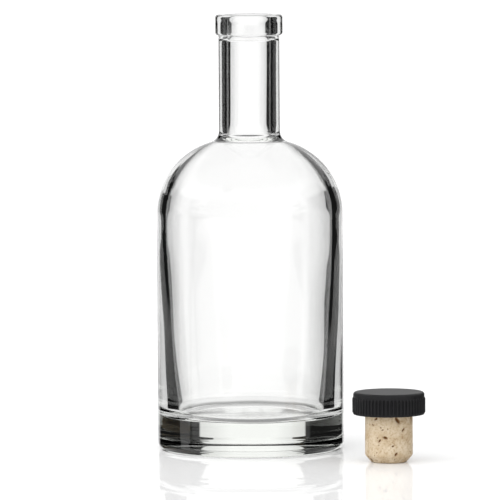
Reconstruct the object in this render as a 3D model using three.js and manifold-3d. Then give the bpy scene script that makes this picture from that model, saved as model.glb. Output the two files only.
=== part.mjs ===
// Clear glass spirits bottle with a domed shoulder and a heavy base. Its T-shaped stopper, a ribbed
// plastic cap glued on a cork, is taken off and stands beside it.
// Units are millimetres. +Z is up and the front faces -Y. The origin is where the bottle's axis
// meets the surface that it stands on.

import * as THREE from 'three';
import Module from 'manifold-3d';
import { mergeVertices } from 'three/addons/utils/BufferGeometryUtils.js';

const wasm = await Module();
wasm.setup();

// Bottle, outside
const bodyRadius = 31.75;
const heelRadius = 2.2;
const shoulderStart = 80.2;
const shoulderRadius = 25.5;
const neckRadius = 10.4;
const neckRootFillet = 4.0;
const neckLength = 32.5;
const rimOverhang = 1.1;
const rimHeight = 7.1;
const rimTopRounding = 1.0;
const rimUnderRounding = 1.0;

// Bottle, inside: the glass thickens from the shoulder down to the base
const boreRadius = 7.55;
const boreMouthRounding = 0.8;
const shoulderWall = 2.9;
const bodyWall = 4.2;
const footWall = 6.7;
const footHeight = 23.0;
const innerCorner = 4.0;
const floorThickness = 10.9;

// Stopper
const corkSqueeze = 0.8;
const corkLength = 16.0;
const corkEndChamfer = 2.0;
const corkEndChamferHeight = 2.4;
const capOverhang = 0.7;
const capHeight = 7.5;
const capSeatDepth = 0.8;
const capSeatClearance = 0.3;
const capEdgeRounding = 0.9;
const capFootChamfer = 0.3;
const ribCount = 60;
const ribHeight = 0.3;
const grooveDepth = 0.6;
const ribFoot = 0.4;
const ribLength = 5.3;
const ribOverlap = 0.1;
const ribTopShare = 0.4;
const ribFlankShare = 0.13;

// Where the stopper stands: clear of the bottle, in front and to the right
const stopperGap = 19.0;
const stopperBearing = THREE.MathUtils.degToRad(-43);

// Fineness of the round surfaces
const bottleFacets = 64;
const capFacets = 72;
const corkFacets = 48;
const cornerSteps = 2;
const filletSteps = 4;
const shoulderSteps = 9;
const wallSteps = 3;

// Sizes that follow from the ones above
const rimRadius = neckRadius + rimOverhang;
const shoulderCentre = bodyRadius - shoulderRadius;
const neckWall = neckRadius - boreRadius;
const neckRootCentre = neckRadius + neckRootFillet;
const neckRootReach = Math.max(0, neckRootCentre - shoulderCentre);
const corkRadius = boreRadius + corkSqueeze / 2;
const ribRadius = rimRadius + capOverhang;
const capRadius = ribRadius - ribHeight;
const quarter = Math.PI / 2;

// A profile is a list of [radius, height] points. addArc goes round a centre from one angle to another.
function addArc(profile, centre, radius, from, to, steps) {
  for (let i = 0; i <= steps; i++) {
    const angle = from + ((to - from) * i) / steps;
    profile.push([centre[0] + radius * Math.cos(angle), centre[1] + radius * Math.sin(angle)]);
  }
}

// A stretch of wall that leaves one point upright and arrives at the next one upright
function addEasedWall(profile, from, to, steps) {
  const third = (to[1] - from[1]) / 3;
  const curve = new THREE.CubicBezierCurve(
    new THREE.Vector2(from[0], from[1]),
    new THREE.Vector2(from[0], from[1] + third),
    new THREE.Vector2(to[0], to[1] - third),
    new THREE.Vector2(to[0], to[1]),
  );
  for (const point of curve.getPoints(steps)) profile.push([point.x, point.y]);
}

// The height of a neck root's centre above the shoulder's centre, for arcs that run into each other
function neckRootRise(domeRadius, filletRadius) {
  return Math.sqrt((domeRadius + filletRadius) ** 2 - neckRootReach ** 2);
}

// The angle at which a dome hands over to the neck root's fillet
function handOverAngle(domeRadius, filletRadius) {
  return Math.acos(neckRootReach / (domeRadius + filletRadius));
}

// Turns a profile round the Z axis. Points that repeat are left out first.
function turned(profile, facets) {
  const points = [];
  for (const [radius, height] of profile) {
    const last = points.at(-1);
    if (last && Math.hypot(last.x - radius, last.y - height) < 1e-6) continue;
    points.push(new THREE.Vector2(radius, height));
  }
  return new THREE.LatheGeometry(points, facets).rotateX(quarter);
}

function toSolid(geometry) {
  const bare = geometry.clone();
  bare.deleteAttribute('normal');
  bare.deleteAttribute('uv');
  const merged = mergeVertices(bare, 1e-5);
  const index = merged.index.array;
  const triangles = [];
  for (let i = 0; i < index.length; i += 3) {
    const [a, b, c] = [index[i], index[i + 1], index[i + 2]];
    if (a !== b && b !== c && c !== a) triangles.push(a, b, c);
  }
  return new wasm.Manifold(new wasm.Mesh({
    numProp: 3,
    vertProperties: new Float32Array(merged.attributes.position.array),
    triVerts: new Uint32Array(triangles),
  }));
}

function toGeometry(solid) {
  const mesh = solid.getMesh();
  const geometry = new THREE.BufferGeometry();
  geometry.setAttribute('position', new THREE.BufferAttribute(mesh.vertProperties, 3));
  geometry.setIndex(new THREE.BufferAttribute(mesh.triVerts, 1));
  geometry.computeVertexNormals();
  return geometry;
}

// The bottle is one blown piece, so one profile goes up the outside, over the lip and down the inside.
function bottleGeometry() {
  const innerFillet = neckRootFillet + neckWall;
  const innerDome = shoulderRadius - shoulderWall;
  const outerAngle = handOverAngle(shoulderRadius, neckRootFillet);
  const innerAngle = handOverAngle(innerDome, innerFillet);
  const outerRootHeight = shoulderStart + neckRootRise(shoulderRadius, neckRootFillet);
  const innerRootHeight = shoulderStart + neckRootRise(innerDome, innerFillet);
  const rimBottom = outerRootHeight + neckLength;
  const rimTop = rimBottom + rimHeight;
  const dome = [shoulderCentre, shoulderStart];
  const cornerHeight = floorThickness + innerCorner;
  const footTop = cornerHeight + footHeight;
  const footRadius = bodyRadius - footWall;

  const profile = [[0, 0]];
  addArc(profile, [bodyRadius - heelRadius, heelRadius], heelRadius, -quarter, 0, filletSteps);
  addArc(profile, dome, shoulderRadius, 0, outerAngle, shoulderSteps);
  addArc(profile, [neckRootCentre, outerRootHeight], neckRootFillet,
    outerAngle - Math.PI, -Math.PI, filletSteps);
  profile.push([neckRadius, rimBottom]);
  addArc(profile, [rimRadius - rimUnderRounding, rimBottom + rimUnderRounding], rimUnderRounding,
    -quarter, 0, cornerSteps);
  addArc(profile, [rimRadius - rimTopRounding, rimTop - rimTopRounding], rimTopRounding,
    0, quarter, cornerSteps);
  addArc(profile, [boreRadius + boreMouthRounding, rimTop - boreMouthRounding], boreMouthRounding,
    quarter, Math.PI, cornerSteps);
  addArc(profile, [neckRootCentre, innerRootHeight], innerFillet,
    Math.PI, Math.PI + innerAngle, filletSteps);
  addArc(profile, dome, innerDome, innerAngle, 0, shoulderSteps);
  addEasedWall(profile, [bodyRadius - shoulderWall, shoulderStart], [bodyRadius - bodyWall, footTop],
    wallSteps);
  addEasedWall(profile, [bodyRadius - bodyWall, footTop], [footRadius, cornerHeight], wallSteps);
  addArc(profile, [footRadius - innerCorner, cornerHeight], innerCorner, 0, -quarter, filletSteps);
  profile.push([0, floorThickness]);
  return turned(profile, bottleFacets);
}

// The cork is squeezed by the bore when it is driven home, so it is a little wider than the bore.
function corkGeometry() {
  const top = corkLength + capSeatDepth;
  return turned([
    [0, 0],
    [corkRadius - corkEndChamfer, 0],
    [corkRadius, corkEndChamferHeight],
    [corkRadius, top],
    [0, top],
  ], corkFacets);
}

// Cap without its ribs: a smooth foot and crown, and a waist that the rib band covers
function capCoreGeometry() {
  const coreRadius = ribRadius - grooveDepth - ribOverlap;
  const bandBottom = ribFoot + ribOverlap;
  const bandTop = ribFoot + ribLength - ribOverlap;
  const profile = [
    [0, 0],
    [capRadius - capFootChamfer, 0],
    [capRadius, capFootChamfer],
    [capRadius, bandBottom],
    [coreRadius, bandBottom],
    [coreRadius, bandTop],
    [capRadius, bandTop],
  ];
  addArc(profile, [capRadius - capEdgeRounding, capHeight - capEdgeRounding], capEdgeRounding,
    0, quarter, filletSteps);
  profile.push([0, capHeight]);
  return turned(profile, capFacets);
}

// One closed outline with a rib and a groove at every pitch, drawn up over the ribs' length
function ribBandGeometry() {
  const grooveRadius = ribRadius - grooveDepth;
  const pitch = (2 * Math.PI) / ribCount;
  const corners = [
    [-ribTopShare / 2 - ribFlankShare, grooveRadius],
    [-ribTopShare / 2, ribRadius],
    [ribTopShare / 2, ribRadius],
    [ribTopShare / 2 + ribFlankShare, grooveRadius],
  ];
  const outline = [];
  for (let rib = 0; rib < ribCount; rib++) {
    for (const [share, radius] of corners) {
      const angle = (rib + share) * pitch;
      outline.push(new THREE.Vector2(radius * Math.cos(angle), radius * Math.sin(angle)));
    }
  }
  return new THREE.ExtrudeGeometry(new THREE.Shape(outline), { depth: ribLength, bevelEnabled: false })
    .translate(0, 0, ribFoot);
}

// The shallow seat in the cap's underside that the cork's top is glued into
function capSeatGeometry() {
  const seatRadius = corkRadius + capSeatClearance;
  return turned([
    [0, -capSeatDepth],
    [seatRadius, -capSeatDepth],
    [seatRadius, capSeatDepth],
    [0, capSeatDepth],
  ], corkFacets);
}

function capGeometry() {
  const ribbed = toSolid(capCoreGeometry()).add(toSolid(ribBandGeometry()));
  return toGeometry(ribbed.subtract(toSolid(capSeatGeometry())));
}

function addPiece(parent, name, geometry, material) {
  const piece = new THREE.Mesh(geometry, material);
  piece.name = name;
  parent.add(piece);
  return piece;
}

const glass = new THREE.MeshStandardMaterial({
  color: 0xe6eeec, roughness: 0.03, metalness: 0, transparent: true, opacity: 0.35,
});
const blackPlastic = new THREE.MeshStandardMaterial({ color: 0x17171a, roughness: 0.38, metalness: 0 });
const corkWood = new THREE.MeshStandardMaterial({ color: 0xcfb183, roughness: 0.85, metalness: 0 });

const set = new THREE.Group();
addPiece(set, 'bottle', bottleGeometry(), glass);

const stopper = new THREE.Group();
const stopperDistance = bodyRadius + stopperGap + ribRadius;
stopper.position.set(
  stopperDistance * Math.cos(stopperBearing),
  stopperDistance * Math.sin(stopperBearing),
  0,
);
set.add(stopper);
addPiece(stopper, 'stopper_cork', corkGeometry(), corkWood);
addPiece(stopper, 'stopper_cap', capGeometry(), blackPlastic).position.z = corkLength;

export default set;
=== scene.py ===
# %% [markdown]
# This script dresses a clear glass spirits bottle and the stopper that was taken out of it.
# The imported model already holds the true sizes, so it is loaded first as a fixed frame, and
# every piece made here goes where that frame says. Lengths are in metres and +Z is up.

# %% Load the frame
import math
import random

import bmesh
import bpy
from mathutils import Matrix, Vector, noise


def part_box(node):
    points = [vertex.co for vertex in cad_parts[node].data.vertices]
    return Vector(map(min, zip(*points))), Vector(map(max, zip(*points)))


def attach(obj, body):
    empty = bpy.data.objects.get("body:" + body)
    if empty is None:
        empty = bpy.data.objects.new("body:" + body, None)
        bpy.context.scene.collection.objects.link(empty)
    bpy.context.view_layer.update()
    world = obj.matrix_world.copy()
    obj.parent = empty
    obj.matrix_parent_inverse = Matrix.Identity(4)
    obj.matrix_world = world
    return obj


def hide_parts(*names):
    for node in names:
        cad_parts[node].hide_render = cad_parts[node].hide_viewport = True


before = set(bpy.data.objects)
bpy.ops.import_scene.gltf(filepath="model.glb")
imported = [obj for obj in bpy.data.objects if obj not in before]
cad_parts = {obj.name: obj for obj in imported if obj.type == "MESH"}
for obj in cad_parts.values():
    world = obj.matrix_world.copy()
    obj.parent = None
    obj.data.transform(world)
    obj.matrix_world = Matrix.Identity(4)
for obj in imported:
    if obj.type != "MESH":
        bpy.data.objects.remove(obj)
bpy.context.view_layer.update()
MM = 0.001

# %% [markdown]
# Glass is a closed solid with two skins, the outside and the hollow, and light bends at both.
# Its look comes from the shape of the wall between them. A shell of even thickness would be
# quicker to make, but it would look like plastic, so the whole wall is drawn as one outline and
# spun round the axis. The outside keeps the frame's sizes. The wall grows thicker from the
# shoulder down to the heavy foot, as glass does when it is blown into a mould.

# %% Sizes of the outside
bottle_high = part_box("bottle")[1]
body_radius = bottle_high.x
bottle_height = bottle_high.z
heel_side_radius = 3.4 * MM
heel_foot_radius = 0.8 * MM
shoulder_start = 80.2 * MM
shoulder_radius = 25.5 * MM
neck_radius = 10.4 * MM
neck_root_fillet = 4.0 * MM
rim_overhang = 1.1 * MM
rim_height = 7.1 * MM
rim_top_rounding = 1.0 * MM
rim_under_rounding = 1.0 * MM
underside_recess = 0.35 * MM
recess_step = 0.6 * MM
bearing_width = 4.0 * MM
print("bottle", round(body_radius * 2 / MM, 1), "mm across,", round(bottle_height / MM, 1), "mm high")

# %% Sizes of the inside
bore_radius = 7.55 * MM
bore_mouth_rounding = 0.8 * MM
inner_root_fillet = 1.6 * MM
inner_root_drop = 1.5 * MM
inner_root_end = 60.0
inner_shoulder_end = 30.0
shoulder_wall = 3.4 * MM
foot_wall = 6.7 * MM
wall_growth = 1.8
inner_corner = 4.0 * MM
floor_thickness = 10.9 * MM

# %% Places that follow from the sizes
rim_radius = neck_radius + rim_overhang
rim_bottom = bottle_height - rim_height
dome_centre = (body_radius - shoulder_radius, shoulder_start)
neck_root_centre = neck_radius + neck_root_fillet
neck_root_reach = neck_root_centre - dome_centre[0]
arcs_together = shoulder_radius + neck_root_fillet
neck_root_height = shoulder_start + math.sqrt(arcs_together**2 - neck_root_reach**2)
hand_over_angle = math.degrees(math.acos(neck_root_reach / arcs_together))
print("neck starts", round(neck_root_height / MM, 1), "mm up")


# %% Straight lines and arcs
def straight(start, end, steps):
    """Evenly spaced points on a straight line."""
    return [
        (start[0] + (end[0] - start[0]) * i / steps, start[1] + (end[1] - start[1]) * i / steps)
        for i in range(steps + 1)
    ]


def arc(centre, radius, start, end, steps):
    """Points on an arc round a centre, from one angle in degrees to another."""
    points = []
    for i in range(steps + 1):
        angle = math.radians(start + (end - start) * i / steps)
        points.append((centre[0] + radius * math.cos(angle), centre[1] + radius * math.sin(angle)))
    return points


# %% Curves
def eased(start, end, steps, growth):
    """Points between two places, upright at the start and leaning more and more towards the end."""
    points = []
    for i in range(steps + 1):
        t = i / steps
        points.append((start[0] + (end[0] - start[0]) * t**growth, start[1] + (end[1] - start[1]) * t))
    return points


bend_pull = 0.38


def bent(start, start_turn, end, end_turn, steps):
    """Points on a curve that leaves and arrives in the given directions, in degrees."""
    pull = bend_pull * math.dist(start, end)
    leave, arrive = math.radians(start_turn), math.radians(end_turn)
    after_start = (start[0] + pull * math.cos(leave), start[1] + pull * math.sin(leave))
    before_end = (end[0] - pull * math.cos(arrive), end[1] - pull * math.sin(arrive))
    points = []
    for i in range(steps + 1):
        t = i / steps
        shares = ((1 - t) ** 3, 3 * t * (1 - t) ** 2, 3 * t**2 * (1 - t), t**3)
        weighed = list(zip(shares, (start, after_start, before_end, end)))
        points.append((sum(w * p[0] for w, p in weighed), sum(w * p[1] for w, p in weighed)))
    return points


# %% [markdown]
# The heel is where the side turns under. Light that meets it steeply is guided up inside the
# wall and shows as a dark line. One round arc would do for the outline, but a wide arc at the
# side that runs into a small one at the foot keeps that line thin. The middle of the underside
# is raised a little, so the bottle stands on a ring and doesn't rock.

# %% Outside of the bottle
def outside_outline():
    """From the middle of the underside, up the outside and over the rim to its flat top."""
    heel_gap = (heel_side_radius - heel_foot_radius) * math.sin(math.radians(45))
    heel_top = heel_foot_radius + heel_gap
    foot_centre = body_radius - heel_side_radius + heel_gap
    recess_radius = foot_centre - bearing_width
    points = straight((0, underside_recess), (recess_radius - recess_step, underside_recess), 12)
    points += straight((recess_radius - recess_step, underside_recess), (recess_radius, 0), 3)
    points += arc((foot_centre, heel_foot_radius), heel_foot_radius, -90, -45, 6)
    points += arc((body_radius - heel_side_radius, heel_top), heel_side_radius, -45, 0, 10)
    points += straight((body_radius, heel_top), (body_radius, shoulder_start), 20)
    points += arc(dome_centre, shoulder_radius, 0, hand_over_angle, 32)
    points += arc((neck_root_centre, neck_root_height), neck_root_fillet, hand_over_angle - 180, -180, 12)
    points += straight((neck_radius, neck_root_height), (neck_radius, rim_bottom), 16)
    points += arc((rim_radius - rim_under_rounding, rim_bottom + rim_under_rounding),
                  rim_under_rounding, -90, 0, 8)
    points += arc((rim_radius - rim_top_rounding, bottle_height - rim_top_rounding),
                  rim_top_rounding, 0, 90, 10)
    return points


# %% [markdown]
# Inside, the bore ends in a small fillet, and a funnel runs from it into the dome. The funnel
# has no bend of its own, because each bend in the hollow shows as a line across the glass.
# Below the dome, one curve takes the wall from thin to thick: two curves after each other would
# break the dark bands at the sides of the bottle.

# %% Inside of the bottle
def inside_outline():
    """From the rim's flat top, down the bore and the hollow's side to the middle of its floor."""
    bore_top = bottle_height - bore_mouth_rounding
    root = (bore_radius + inner_root_fillet, neck_root_height - inner_root_drop)
    corner_height = floor_thickness + inner_corner
    foot_radius = body_radius - foot_wall
    points = arc((bore_radius + bore_mouth_rounding, bore_top), bore_mouth_rounding, 90, 180, 8)
    points += straight((bore_radius, bore_top), (bore_radius, root[1]), 18)
    points += arc(root, inner_root_fillet, 180, 180 + inner_root_end, 10)
    dome = arc(dome_centre, shoulder_radius - shoulder_wall, inner_shoulder_end, 0, 18)
    points += bent(points[-1], inner_root_end - 90, dome[0], inner_shoulder_end - 90, 30)
    points += dome
    points += eased((body_radius - shoulder_wall, shoulder_start), (foot_radius, corner_height),
                    44, wall_growth)
    points += arc((foot_radius - inner_corner, corner_height), inner_corner, 0, -90, 12)
    points += straight((foot_radius - inner_corner, floor_thickness), (0, floor_thickness), 12)
    return points


# %% [markdown]
# Round pieces could be built from a cylinder with many cuts, but a lathe is how they are drawn
# in a workshop: a full turn with the spin operator makes the body, and merging doubles closes
# the poles on the axis. Each point keeps a mark that says whether it lies on the hollow's side.

# %% Spin an outline
same_place = 0.002 * MM
merge_distance = 0.001 * MM


def spun(outlines, steps):
    """A bmesh turned from outlines in a row. Points of the second outline carry the mark 1."""
    bm = bmesh.new()
    mark = bm.verts.layers.float.new("hollow")
    last = None
    for side, outline in enumerate(outlines):
        for radius, height in outline:
            if last and (last.co - Vector((radius, 0, height))).length < same_place:
                continue
            vert = bm.verts.new((radius, 0, height))
            vert[mark] = side
            if last:
                bm.edges.new((last, vert))
            last = vert
    bmesh.ops.spin(bm, geom=bm.verts[:] + bm.edges[:], cent=(0, 0, 0), axis=(0, 0, 1),
                   angle=2 * math.pi, steps=steps, use_merge=True)
    bmesh.ops.remove_doubles(bm, verts=bm.verts[:], dist=merge_distance)
    bmesh.ops.recalc_face_normals(bm, faces=bm.faces[:])
    return bm


# %% Make an object of it
def finished(bm, name, material):
    """Makes a smooth object of a bmesh and lets it ride on the part's one body."""
    for face in bm.faces:
        face.smooth = True
    mesh = bpy.data.meshes.new(name)
    bm.to_mesh(mesh)
    bm.free()
    piece = bpy.data.objects.new(name, mesh)
    bpy.context.scene.collection.objects.link(piece)
    mesh.materials.append(material)
    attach(piece, "root")
    print(name, len(mesh.vertices), "vertices,", len(mesh.polygons), "faces")
    return piece


# %% [markdown]
# The mould shapes the outside of a blown bottle, and air alone shapes the inside, so the hollow
# is a little uneven and leans. A bump in the material would not move the light's path through
# the wall, so the points themselves are moved. The neck is finished with a tool that fixes its
# bore, so the waves fade out towards it.

# %% Waves in the glass
inner_sag = 0.20 * MM
inner_wave = 0.07 * MM
outer_wave = 0.02 * MM
floor_wave = 0.105 * MM
hollow_lean = 0.12 * MM
sag_scale = 26.0
wave_scale = 95.0
upright_stretch = 0.45
sag_start = Vector((3.1, 0.4, 1.7))
wave_start = Vector((7.7, 2.9, 5.3))
pole_zone = 0.5 * MM
floor_zone = 1.0 * MM
calm_height = 30 * MM
neck_wave_share = 0.3


def smooth_step(low, high, value):
    """0 below low, 1 above high and a smooth slope between."""
    t = min(1.0, max(0.0, (value - low) / (high - low)))
    return t * t * (3 - 2 * t)


def ripple(bm):
    """Moves the points of the wall a little towards or away from the axis."""
    mark = bm.verts.layers.float["hollow"]
    for vert in bm.verts:
        across = Vector((vert.co.x, vert.co.y, 0))
        if across.length < pole_zone:
            continue
        height = vert.co.z
        spot = Vector((vert.co.x, vert.co.y, height * upright_stretch))
        wave = noise.noise(spot * wave_scale + wave_start)
        if vert[mark] < 0.5:
            vert.co += across.normalized() * (outer_wave * (wave - 1.0))
            continue
        sag = noise.noise(spot * sag_scale + sag_start)
        room = min(1.0, max(0.0, (rim_bottom - height) / calm_height))
        if height < floor_thickness + floor_zone:
            vert.co.z += floor_wave * noise.noise(spot * wave_scale)
        vert.co.x -= hollow_lean * smooth_step(floor_thickness, shoulder_start, height) * room
        wave_share = neck_wave_share + (1 - neck_wave_share) * room
        vert.co += across.normalized() * (inner_sag * sag * room + inner_wave * wave * wave_share)


# %% [markdown]
# A material is a small graph of nodes. These helpers keep the graphs short: one makes an empty
# material, one adds a node, sets its values and joins its inputs, and one makes a colour ramp.

# %% Helpers for materials
def new_material(name):
    """An empty material and its node tree."""
    material = bpy.data.materials.new(name)
    material.use_nodes = True
    material.node_tree.nodes.clear()
    return material, material.node_tree


def add(tree, kind, inputs=None, **settings):
    """Adds a node. An input is a value, or an output socket that is linked to it."""
    node = tree.nodes.new(kind)
    for key, value in settings.items():
        setattr(node, key, value)
    for key, value in (inputs or {}).items():
        if isinstance(value, bpy.types.NodeSocket):
            tree.links.new(value, node.inputs[key])
        else:
            node.inputs[key].default_value = value
    return node


def ramp(tree, factor, stops):
    """A colour ramp with the given (position, colour) stops."""
    node = add(tree, "ShaderNodeValToRGB", {"Fac": factor})
    elements = node.color_ramp.elements
    while len(elements) < len(stops):
        elements.new(0.5)
    for element, (position, colour) in zip(elements, stops):
        element.position = position
        element.color = (*colour, 1.0)
    return node.outputs["Color"]


# %% [markdown]
# No surface is the same all over: glass has soft waves, plastic has the grain of its mould, and
# cork has blotches and flecks. All of them are soft patches of some size, so one node group
# makes the patches, and each material places it with its own size.

# %% Patches, as a node group
def patches_group():
    """A node group that puts out one value, which changes softly from place to place."""
    group = bpy.data.node_groups.new("patches", "ShaderNodeTree")
    group.interface.new_socket(name="Place", in_out="INPUT", socket_type="NodeSocketVector")
    for name in ("Scale", "Detail", "Coarseness"):
        group.interface.new_socket(name=name, in_out="INPUT", socket_type="NodeSocketFloat")
    group.interface.new_socket(name="Amount", in_out="OUTPUT", socket_type="NodeSocketFloat")
    given = add(group, "NodeGroupInput").outputs
    cloud = add(group, "ShaderNodeTexNoise", {
        "Vector": given["Place"],
        "Scale": given["Scale"],
        "Detail": given["Detail"],
        "Roughness": given["Coarseness"],
    })
    add(group, "NodeGroupOutput", {"Amount": cloud.outputs["Fac"]})
    return group


patches_tree = patches_group()


def patches(tree, place, scale, detail, coarseness=0.5):
    """Places the group in a material and gives its value."""
    inputs = {"Place": place, "Scale": scale, "Detail": detail, "Coarseness": coarseness}
    return add(tree, "ShaderNodeGroup", inputs, node_tree=patches_tree).outputs["Amount"]


# %% [markdown]
# Flint glass has hardly any colour. What little it has shows only where light travels a long
# way inside it, as in the foot. A tinted surface would grey the thin neck as much as the foot,
# so the colour is given to the volume.

# %% Glass
glass_tint = (0.72, 0.78, 0.66, 1.0)


def glass_material():
    """Clear flint glass with a faint grey-green body and soft waves on its skin."""
    material, tree = new_material("flint_glass")
    place = add(tree, "ShaderNodeTexCoord").outputs["Object"]
    waves = patches(tree, place, 60.0, 2.0)
    bump = add(tree, "ShaderNodeBump", {"Height": waves, "Strength": 0.05, "Distance": 0.3 * MM})
    skin = add(tree, "ShaderNodeBsdfPrincipled", {
        "Base Color": (1.0, 1.0, 1.0, 1.0),
        "Roughness": 0.0,
        "IOR": 1.52,
        "Transmission Weight": 1.0,
        "Normal": bump.outputs["Normal"],
    })
    body = add(tree, "ShaderNodeVolumeAbsorption", {"Color": glass_tint, "Density": 5.0})
    out = add(tree, "ShaderNodeOutputMaterial")
    tree.links.new(skin.outputs["BSDF"], out.inputs["Surface"])
    tree.links.new(body.outputs["Volume"], out.inputs["Volume"])
    return material


# %% The bottle
bottle_steps = 240

bottle_mesh = spun([outside_outline(), inside_outline()], bottle_steps)
ripple(bottle_mesh)
bottle = finished(bottle_mesh, "bottle_glass", glass_material())
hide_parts("bottle")

# %% [markdown]
# The stopper's cap is moulded black plastic with fine ribs for the fingers. Sixty small bars
# laid round a disc would have hard joins, so the ribs are one wave that repeats round the side:
# the cap is spun with many steps, and each point of the ribbed band moves out to a crest or in
# to a groove. That keeps every rib round at its crest, as a moulding is.

# %% Sizes of the stopper
cap_low, cap_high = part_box("stopper_cap")
cork_low, cork_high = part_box("stopper_cork")
stopper_axis = (cork_low + cork_high) / 2
rib_radius = (cap_high.x - cap_low.x) / 2
cork_radius = (cork_high.x - cork_low.x) / 2
seat_clearance = 0.3 * MM
seat_radius = cork_radius + seat_clearance
rib_count = 60
rib_height = 0.3 * MM
groove_depth = 0.6 * MM
rib_foot = 0.4 * MM
rib_length = 5.3 * MM
rib_foot_slope = 0.25 * MM
rib_head_slope = 0.35 * MM
crest_share = 0.17
groove_share = 0.36
cap_foot_rounding = 0.25 * MM
cap_edge_rounding = 0.9 * MM
cap_radius = rib_radius - rib_height
print("cap", round(rib_radius * 2 / MM, 1), "mm across; cork", round(cork_radius * 2 / MM, 1))


# %% Outline of the cap
def cap_outline():
    """The cap without its ribs, from the seat round the side to the middle of the top."""
    base = cap_low.z
    top = cap_high.z
    seat = cork_high.z
    foot = cap_foot_rounding
    edge = cap_edge_rounding
    points = [(0, seat), (seat_radius, seat), (seat_radius, base)]
    points += straight((seat_radius, base), (cap_radius - foot, base), 4)
    points += arc((cap_radius - foot, base + foot), foot, -90, 0, 5)
    points += straight((cap_radius, base + foot), (cap_radius, top - edge), 26)
    points += arc((cap_radius - edge, top - edge), edge, 0, 90, 12)
    points += straight((cap_radius - edge, top), (0, top), 10)
    return points


# %% Ribs
side_tolerance = 0.01 * MM


def press_ribs(bm):
    """Pushes ribs out of the band and grooves into it."""
    band_top = rib_foot + rib_length
    for vert in bm.verts:
        across = Vector((vert.co.x, vert.co.y, 0))
        if across.length < cap_radius - side_tolerance:
            continue
        height = vert.co.z - cap_low.z
        in_band = smooth_step(rib_foot, rib_foot + rib_foot_slope, height)
        in_band *= 1 - smooth_step(band_top - rib_head_slope, band_top, height)
        turn = math.atan2(across.y, across.x) / (2 * math.pi) * rib_count
        off = abs(turn - round(turn))
        crest = 1 - smooth_step(crest_share, groove_share, off)
        move = rib_height - groove_depth * (1 - crest)
        vert.co += across.normalized() * (move * in_band)


# %% [markdown]
# Moulded plastic is never pure black. Its gloss varies more than its colour does, so soft
# patches change how rough it is, and a very fine grain breaks up the highlights.

# %% Plastic
plastic_tones = [(0.35, (0.008, 0.008, 0.009)), (0.7, (0.015, 0.015, 0.016))]
plastic_roughness = (0.42, 0.54)


def plastic_material():
    """Satin black moulded plastic with the faint unevenness of its mould."""
    material, tree = new_material("black_plastic")
    place = add(tree, "ShaderNodeTexCoord").outputs["Object"]
    grain = patches(tree, place, 1500.0, 3.0)
    cloud = patches(tree, place, 110.0, 2.0)
    rough = add(tree, "ShaderNodeMapRange", {
        "Value": cloud,
        "To Min": plastic_roughness[0],
        "To Max": plastic_roughness[1],
    })
    bump = add(tree, "ShaderNodeBump", {"Height": grain, "Strength": 0.12, "Distance": 0.05 * MM})
    skin = add(tree, "ShaderNodeBsdfPrincipled", {
        "Base Color": ramp(tree, cloud, plastic_tones),
        "Roughness": rough.outputs["Result"],
        "Specular IOR Level": 0.2,
        "Normal": bump.outputs["Normal"],
    })
    out = add(tree, "ShaderNodeOutputMaterial")
    tree.links.new(skin.outputs["BSDF"], out.inputs["Surface"])
    return material


# %% The cap
steps_per_rib = 12

cap_mesh = spun([cap_outline()], rib_count * steps_per_rib)
press_ribs(cap_mesh)
bmesh.ops.translate(cap_mesh, verts=cap_mesh.verts[:], vec=(stopper_axis.x, stopper_axis.y, 0))
cap = finished(cap_mesh, "ribbed_cap", plastic_material())
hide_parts("stopper_cap")

# %% [markdown]
# The cork is punched from bark and sanded. Its pores are real pits, and a picture of them would
# look flat at the edge of the cork, so they are pressed into a fine mesh. Each point keeps how
# deep it lies in a pore as an attribute, which the material reads for the brown lining. Finer
# grain is left to the material.

# %% Outline of the cork
cork_chamfer = 2.0 * MM
cork_chamfer_height = 2.4 * MM
# Millimetres out and up from the chamfer's lower and upper edge, where the sanding rounds them
cork_foot_bend = [(-0.6, 0.0), (-0.3, 0.05), (0.1, 0.25), (0.3, 0.5)]
cork_side_bend = [(-0.3, -0.35), (-0.1, 0.0), (0.0, 0.4)]


def cork_outline():
    """The cork from the middle of its foot, up the side and in to its axis."""
    foot = [(cork_radius - cork_chamfer + out * MM, up * MM) for out, up in cork_foot_bend]
    side = [(cork_radius + out * MM, cork_chamfer_height + up * MM) for out, up in cork_side_bend]
    points = straight((0, 0), foot[0], 26) + foot[1:3]
    points += straight(foot[3], side[0], 12) + side[1:]
    points += straight(side[-1], (cork_radius, cork_high.z), 80)
    points += straight((cork_radius, cork_high.z), (0, cork_high.z), 6)
    return points


# %% [markdown]
# Most pores in cork are small and a few are large, so a random number is raised to a power
# before it becomes a size. The numbers come from a seeded draw, so that every run makes the
# same cork.

# %% Pores
pore_seed = 11
pore_count = 95
pore_heights = (0.4, 16.5)
smallest_pore = 0.18
pore_size_range = 0.75
large_pore_rarity = 3.2
flattest_pore = 0.6
pore_stretch_range = 1.0
shallowest_pore = 0.15
depth_for_size = 0.5
pore_lean = 0.9


def pore_list():
    """Pores as (turn, height, half width, half height, depth, lean), the same in every run."""
    draw = random.Random(pore_seed)
    pores = []
    for _ in range(pore_count):
        size = smallest_pore + pore_size_range * draw.random() ** large_pore_rarity
        stretch = flattest_pore + pore_stretch_range * draw.random()
        pores.append((
            draw.uniform(-math.pi, math.pi),
            draw.uniform(*pore_heights) * MM,
            size * MM,
            size * stretch * MM,
            (shallowest_pore + depth_for_size * size) * MM,
            draw.uniform(-pore_lean, pore_lean),
        ))
    return pores


# %% Find the pores of each height
pore_reach = 1.5


def pores_near(pores):
    """For each whole millimetre of height, the pores that reach it."""
    near = {}
    for pore in pores:
        reach = pore_reach * pore[3]
        for band in range(int((pore[1] - reach) / MM), int((pore[1] + reach) / MM) + 1):
            near.setdefault(band, []).append(pore)
    return near


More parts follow.
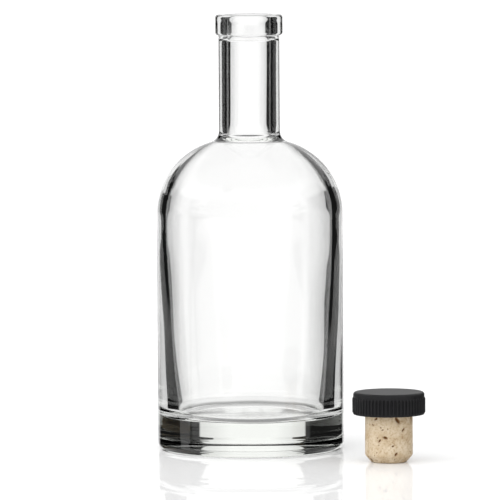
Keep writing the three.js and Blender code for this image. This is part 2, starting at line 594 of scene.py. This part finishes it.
# %% Press the pores in
foot_middle = 2.0 * MM
glued_end = 0.05 * MM
pore_edge_scale = 900
pore_edge_roughness = 0.35
pore_slope = (-0.05, 0.55)


def press_pores(bm):
    """Pits the side of the cork, and marks the points inside each pit."""
    pore_mark = bm.verts.layers.float.new("pore")
    near = pores_near(pore_list())
    for vert in bm.verts:
        radius = math.hypot(vert.co.x, vert.co.y)
        if radius < foot_middle or vert.co.z > cork_high.z - glued_end:
            continue
        turn = math.atan2(vert.co.y, vert.co.x)
        rough = noise.noise(vert.co * pore_edge_scale) * pore_edge_roughness
        deepest = 0.0
        depth = 0.0
        for spot, height, half_wide, half_high, pit, lean in near.get(int(vert.co.z / MM), []):
            rise = vert.co.z - height
            off = (turn - spot + math.pi) % (2 * math.pi) - math.pi
            across = off * cork_radius - rise * lean
            inside = 1 - math.hypot(across / half_wide, rise / half_high) + rough
            share = smooth_step(*pore_slope, inside)
            if share > deepest:
                deepest = share
                depth = pit * share
        vert[pore_mark] = deepest
        vert.co.x *= 1 - depth / radius
        vert.co.y *= 1 - depth / radius


# %% [markdown]
# Bark has three things to see from near: broad blotches of tan and cream, small darker flecks
# between its cells, and the brown dust that lines the pores. They are laid over each other in
# that order.

# %% Cork
cork_tones = [(0.30, (0.44, 0.32, 0.19)), (0.48, (0.56, 0.45, 0.31)), (0.66, (0.64, 0.54, 0.40))]
fleck_tones = [(0.32, (0.55, 0.42, 0.30)), (0.50, (1.0, 1.0, 1.0))]
fleck_strength = 0.55
pore_lining = (0.14, 0.062, 0.018, 1.0)


def cork_material():
    """Pale cork with blotches, fine grain and brown pores."""
    material, tree = new_material("cork_bark")
    place = add(tree, "ShaderNodeTexCoord").outputs["Object"]
    tone = ramp(tree, patches(tree, place, 260.0, 4.0, 0.6), cork_tones)
    grain = patches(tree, place, 1500.0, 4.0)
    fleck = ramp(tree, grain, fleck_tones)
    flecked = add(tree, "ShaderNodeMix", {"Factor": fleck_strength, "A": tone, "B": fleck},
                  data_type="RGBA", blend_type="MULTIPLY").outputs["Result"]
    pore = add(tree, "ShaderNodeAttribute", attribute_name="pore").outputs["Fac"]
    lined = add(tree, "ShaderNodeMix", {"Factor": pore, "A": flecked, "B": pore_lining},
                data_type="RGBA").outputs["Result"]
    bump = add(tree, "ShaderNodeBump", {"Height": grain, "Strength": 0.5, "Distance": 0.12 * MM})
    skin = add(tree, "ShaderNodeBsdfPrincipled", {
        "Base Color": lined,
        "Roughness": 0.85,
        "Specular IOR Level": 0.25,
        "Normal": bump.outputs["Normal"],
    })
    out = add(tree, "ShaderNodeOutputMaterial")
    tree.links.new(skin.outputs["BSDF"], out.inputs["Surface"])
    return material


# %% The cork
cork_steps = 360

cork_mesh = spun([cork_outline()], cork_steps)
press_pores(cork_mesh)
bmesh.ops.translate(cork_mesh, verts=cork_mesh.verts[:], vec=(stopper_axis.x, stopper_axis.y, 0))
cork = finished(cork_mesh, "cork_shank", cork_material())
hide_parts("stopper_cork")

# %% [markdown]
# Clear glass is seen only by what it bends into view. A photographer puts it before a white
# wall and stands dark cards beside that wall: the middle of the bottle shows the wall, and its
# edges, which bend light the most, show the cards. Here the world plays both parts, as white
# walls at three places round the bottle with darkness between them, and a white ceiling. Each
# wall has a direction, counted from the right over the back, and a half width, in degrees.
# Reflections have a set of their own: the wall behind, a narrow strip at the left and a wide
# wall on the viewer's side, which gives the front of the glass its soft sheen.

# %% Walls and cards
wall_level = 1.05
wall_rim_level = 0.76
wall_fade_start = 0.40
wall_edge = (0.97, 1.03)
back_wall = (91.0, 25.0)
left_wall = (182.0, 27.0)
right_wall = (318.0, 34.0)
side_sheen = (180.0, 9.0)
viewer_sheen = (270.0, 78.0)
card_level = 0.008
viewer_side_level = 0.04
viewer_side_edge = (-0.95, -0.60)
through_ceiling = (0.40, 0.60)
sheen_ceiling = (0.30, 0.38)

# %% [markdown]
# The cards have no straight edges, so the walls between them are wider at some heights than at
# others. These are (steepness, share of the full width) pairs, where the steepness is the size
# of a direction's Z.

# %% Widths of the walls
wall_widths = [
    (0.0, 0.70),
    (0.042, 0.70),
    (0.088, 1.0),
    (0.114, 1.0),
    (0.132, 0.80),
    (0.156, 0.80),
    (0.21, 1.0),
]


# %% Small sums in a node tree
def calculated(tree, operation, *values):
    """A Math node's result for one, two or three values."""
    return add(tree, "ShaderNodeMath", dict(enumerate(values)), operation=operation).outputs[0]


def between(tree, value, span, levels, smooth=True):
    """Carries a value from one span over to a pair of levels, and stays level beyond it."""
    inputs = {
        "Value": value,
        "From Min": span[0],
        "From Max": span[1],
        "To Min": levels[0],
        "To Max": levels[1],
    }
    slope = "SMOOTHSTEP" if smooth else "LINEAR"
    return add(tree, "ShaderNodeMapRange", inputs, interpolation_type=slope).outputs["Result"]


# %% A wall as light
def wall_light(tree, split, turn, wall):
    """A wall's light in each direction: full in the middle, less near its rim, none beyond."""
    centre, widest_half = wall
    steepness = calculated(tree, "ABSOLUTE", split.outputs["Z"])
    width = ramp(tree, steepness, [(height, (share,) * 3) for height, share in wall_widths])
    half_width = calculated(tree, "MULTIPLY", width, math.radians(widest_half))
    off = calculated(tree, "SUBTRACT", turn, math.radians(centre))
    away = calculated(tree, "ABSOLUTE", calculated(tree, "WRAP", off, -math.pi, math.pi))
    part = calculated(tree, "DIVIDE", away, half_width)
    light = between(tree, part, (wall_fade_start, 1.0), (wall_level, wall_rim_level), smooth=False)
    return calculated(tree, "MULTIPLY", light, between(tree, part, wall_edge, (1.0, 0.0)))


def walls_and_cards(tree, split, turn, walls, ceiling_edge):
    """Walls with dark cards between them, a dim side towards the viewer and a white ceiling."""
    level = between(tree, split.outputs["Y"], viewer_side_edge, (viewer_side_level, card_level))
    for wall in walls:
        level = calculated(tree, "MAXIMUM", level, wall_light(tree, split, turn, wall))
    ceiling = between(tree, split.outputs["Z"], ceiling_edge, (0.0, 1.0))
    return calculated(tree, "MAXIMUM", level, ceiling)


# %% [markdown]
# The camera itself sees plain white. The cork, the cap and the floor are lit by soft light that
# is brighter from the upper left, so that they keep their round look and a soft shadow.

# %% World
key_direction = (-0.62, -0.45, 0.64)
key_span = (-0.5, 1.0)
key_levels = (0.30, 2.0)


def make_world():
    """White for the camera, walls and cards for gloss and glass, soft light for the rest."""
    world = bpy.data.worlds.new("studio")
    world.use_nodes = True
    tree = world.node_tree
    tree.nodes.clear()
    direction = add(tree, "ShaderNodeTexCoord").outputs["Generated"]
    split = add(tree, "ShaderNodeSeparateXYZ", {"Vector": direction})
    turn = calculated(tree, "ARCTAN2", split.outputs["Y"], split.outputs["X"])
    through = walls_and_cards(tree, split, turn, [back_wall, left_wall, right_wall], through_ceiling)
    sheen = walls_and_cards(tree, split, turn, [back_wall, side_sheen, viewer_sheen], sheen_ceiling)
    key = add(tree, "ShaderNodeVectorMath", {0: direction, 1: key_direction}, operation="DOT_PRODUCT")
    level = between(tree, key.outputs["Value"], key_span, key_levels, smooth=False)
    path = add(tree, "ShaderNodeLightPath")
    for ray, light in (("Is Glossy Ray", sheen), ("Is Transmission Ray", through), ("Is Camera Ray", 1.0)):
        level = add(tree, "ShaderNodeMix", {"Factor": path.outputs[ray], "A": level, "B": light},
                    data_type="FLOAT").outputs["Result"]
    back = add(tree, "ShaderNodeBackground", {"Color": (1, 1, 1, 1), "Strength": level})
    out = add(tree, "ShaderNodeOutputWorld")
    tree.links.new(back.outputs["Background"], out.inputs["Surface"])
    bpy.context.scene.world = world
    print("world", world.name, "with", len(tree.nodes), "nodes")


make_world()

# %% [markdown]
# The floor is pale polished plastic. The camera sees it as matt white with a faint mirror image
# of the bottle, and it keeps the shadows. Light that has come through the glass or off it meets
# the floor in one of two ways. At a low angle any polish is a mirror, so it shows the walls and
# cards again, and the dark bands run on down the glass. At a steep angle the floor glows, and
# the glow carries painted shade: it dims the more straight down it is seen, standing in for the
# shade under the heavy foot.

# %% Floor
floor_half = 6.0
floor_white = (0.93, 0.93, 0.93, 1)
floor_mirror = 0.34
mirror_softness = 0.03
low_angle = (0.58, 0.66)
# Painted shade: seen through glass, the floor glows dimmer the more straight down it is seen.
steep_angle = (0.24, 0.44)
painted_shade_levels = (0.30, 0.90)


def floor_material():
    """White polished plastic. Seen through glass, it is a full mirror at a low angle, and at a steep one a
    glow dimmed by painted shade.
    """
    material, tree = new_material("white_polish")
    path = add(tree, "ShaderNodeLightPath")
    facing = add(tree, "ShaderNodeLayerWeight", {"Blend": 0.5}).outputs["Facing"]
    graze = between(tree, facing, low_angle, (0.0, 1.0))
    # Painted shade: the glow's strength stands in for the shade under the bottle's foot.
    painted_foot_shade = between(tree, facing, steep_angle, painted_shade_levels)
    matt = add(tree, "ShaderNodeBsdfDiffuse", {"Color": floor_white})
    glow = add(tree, "ShaderNodeEmission", {"Color": (1, 1, 1, 1), "Strength": painted_foot_shade})
    mirror = add(tree, "ShaderNodeBsdfGlossy", {"Color": (1, 1, 1, 1), "Roughness": mirror_softness})
    sharp = add(tree, "ShaderNodeBsdfGlossy", {"Color": (1, 1, 1, 1), "Roughness": 0.0})
    shown = add(tree, "ShaderNodeMixShader",
                {0: floor_mirror, 1: matt.outputs["BSDF"], 2: mirror.outputs["BSDF"]})
    through = add(tree, "ShaderNodeMixShader",
                  {0: graze, 1: glow.outputs["Emission"], 2: sharp.outputs["BSDF"]})
    by_glass = calculated(tree, "MAXIMUM",
                          path.outputs["Is Transmission Ray"], path.outputs["Is Glossy Ray"])
    mixed = add(tree, "ShaderNodeMixShader",
                {0: by_glass, 1: shown.outputs["Shader"], 2: through.outputs["Shader"]})
    out = add(tree, "ShaderNodeOutputMaterial")
    tree.links.new(mixed.outputs["Shader"], out.inputs["Surface"])
    return material


floor_bm = bmesh.new()
bmesh.ops.create_grid(floor_bm, x_segments=1, y_segments=1, size=floor_half)
floor_mesh = bpy.data.meshes.new("floor")
floor_bm.to_mesh(floor_mesh)
floor_bm.free()
floor = bpy.data.objects.new("floor", floor_mesh)
bpy.context.scene.collection.objects.link(floor)
floor_mesh.materials.append(floor_material())
print("floor", floor_half * 2, "m across")

# %% [markdown]
# The picture was taken from far away with a long lens, a little above the mouth. The eye's
# height comes from how round the lip and the base look, and the distance from how both change.

# %% Camera
image_side = 500
axis_pixel_size = 0.34 * MM
eye_distance = 1.80
eye_height = 0.205
base_pixel_height = 449.5
roll_degrees = -0.3
sensor = 36.0
view_limit = 50

camera_data = bpy.data.cameras.new("camera")
camera = bpy.data.objects.new("camera", camera_data)
bpy.context.scene.collection.objects.link(camera)
bpy.context.scene.camera = camera
aim_height = (base_pixel_height - image_side / 2) * axis_pixel_size
camera_data.sensor_width = sensor
camera_data.lens = sensor * eye_distance / (axis_pixel_size * image_side)
camera_data.clip_end = view_limit
camera.location = (0, -eye_distance, eye_height)
look = Vector((0, 0, aim_height)) - camera.location
camera.rotation_euler = look.to_track_quat("-Z", "Y").to_euler()
camera.rotation_euler.rotate_axis("Z", math.radians(roll_degrees))
bpy.context.scene.view_settings.view_transform = "Standard"
down_angle = math.degrees(math.atan2(-look.z, look.y))
print("lens", round(camera_data.lens, 1), "mm, looking down", round(down_angle, 2), "degrees")
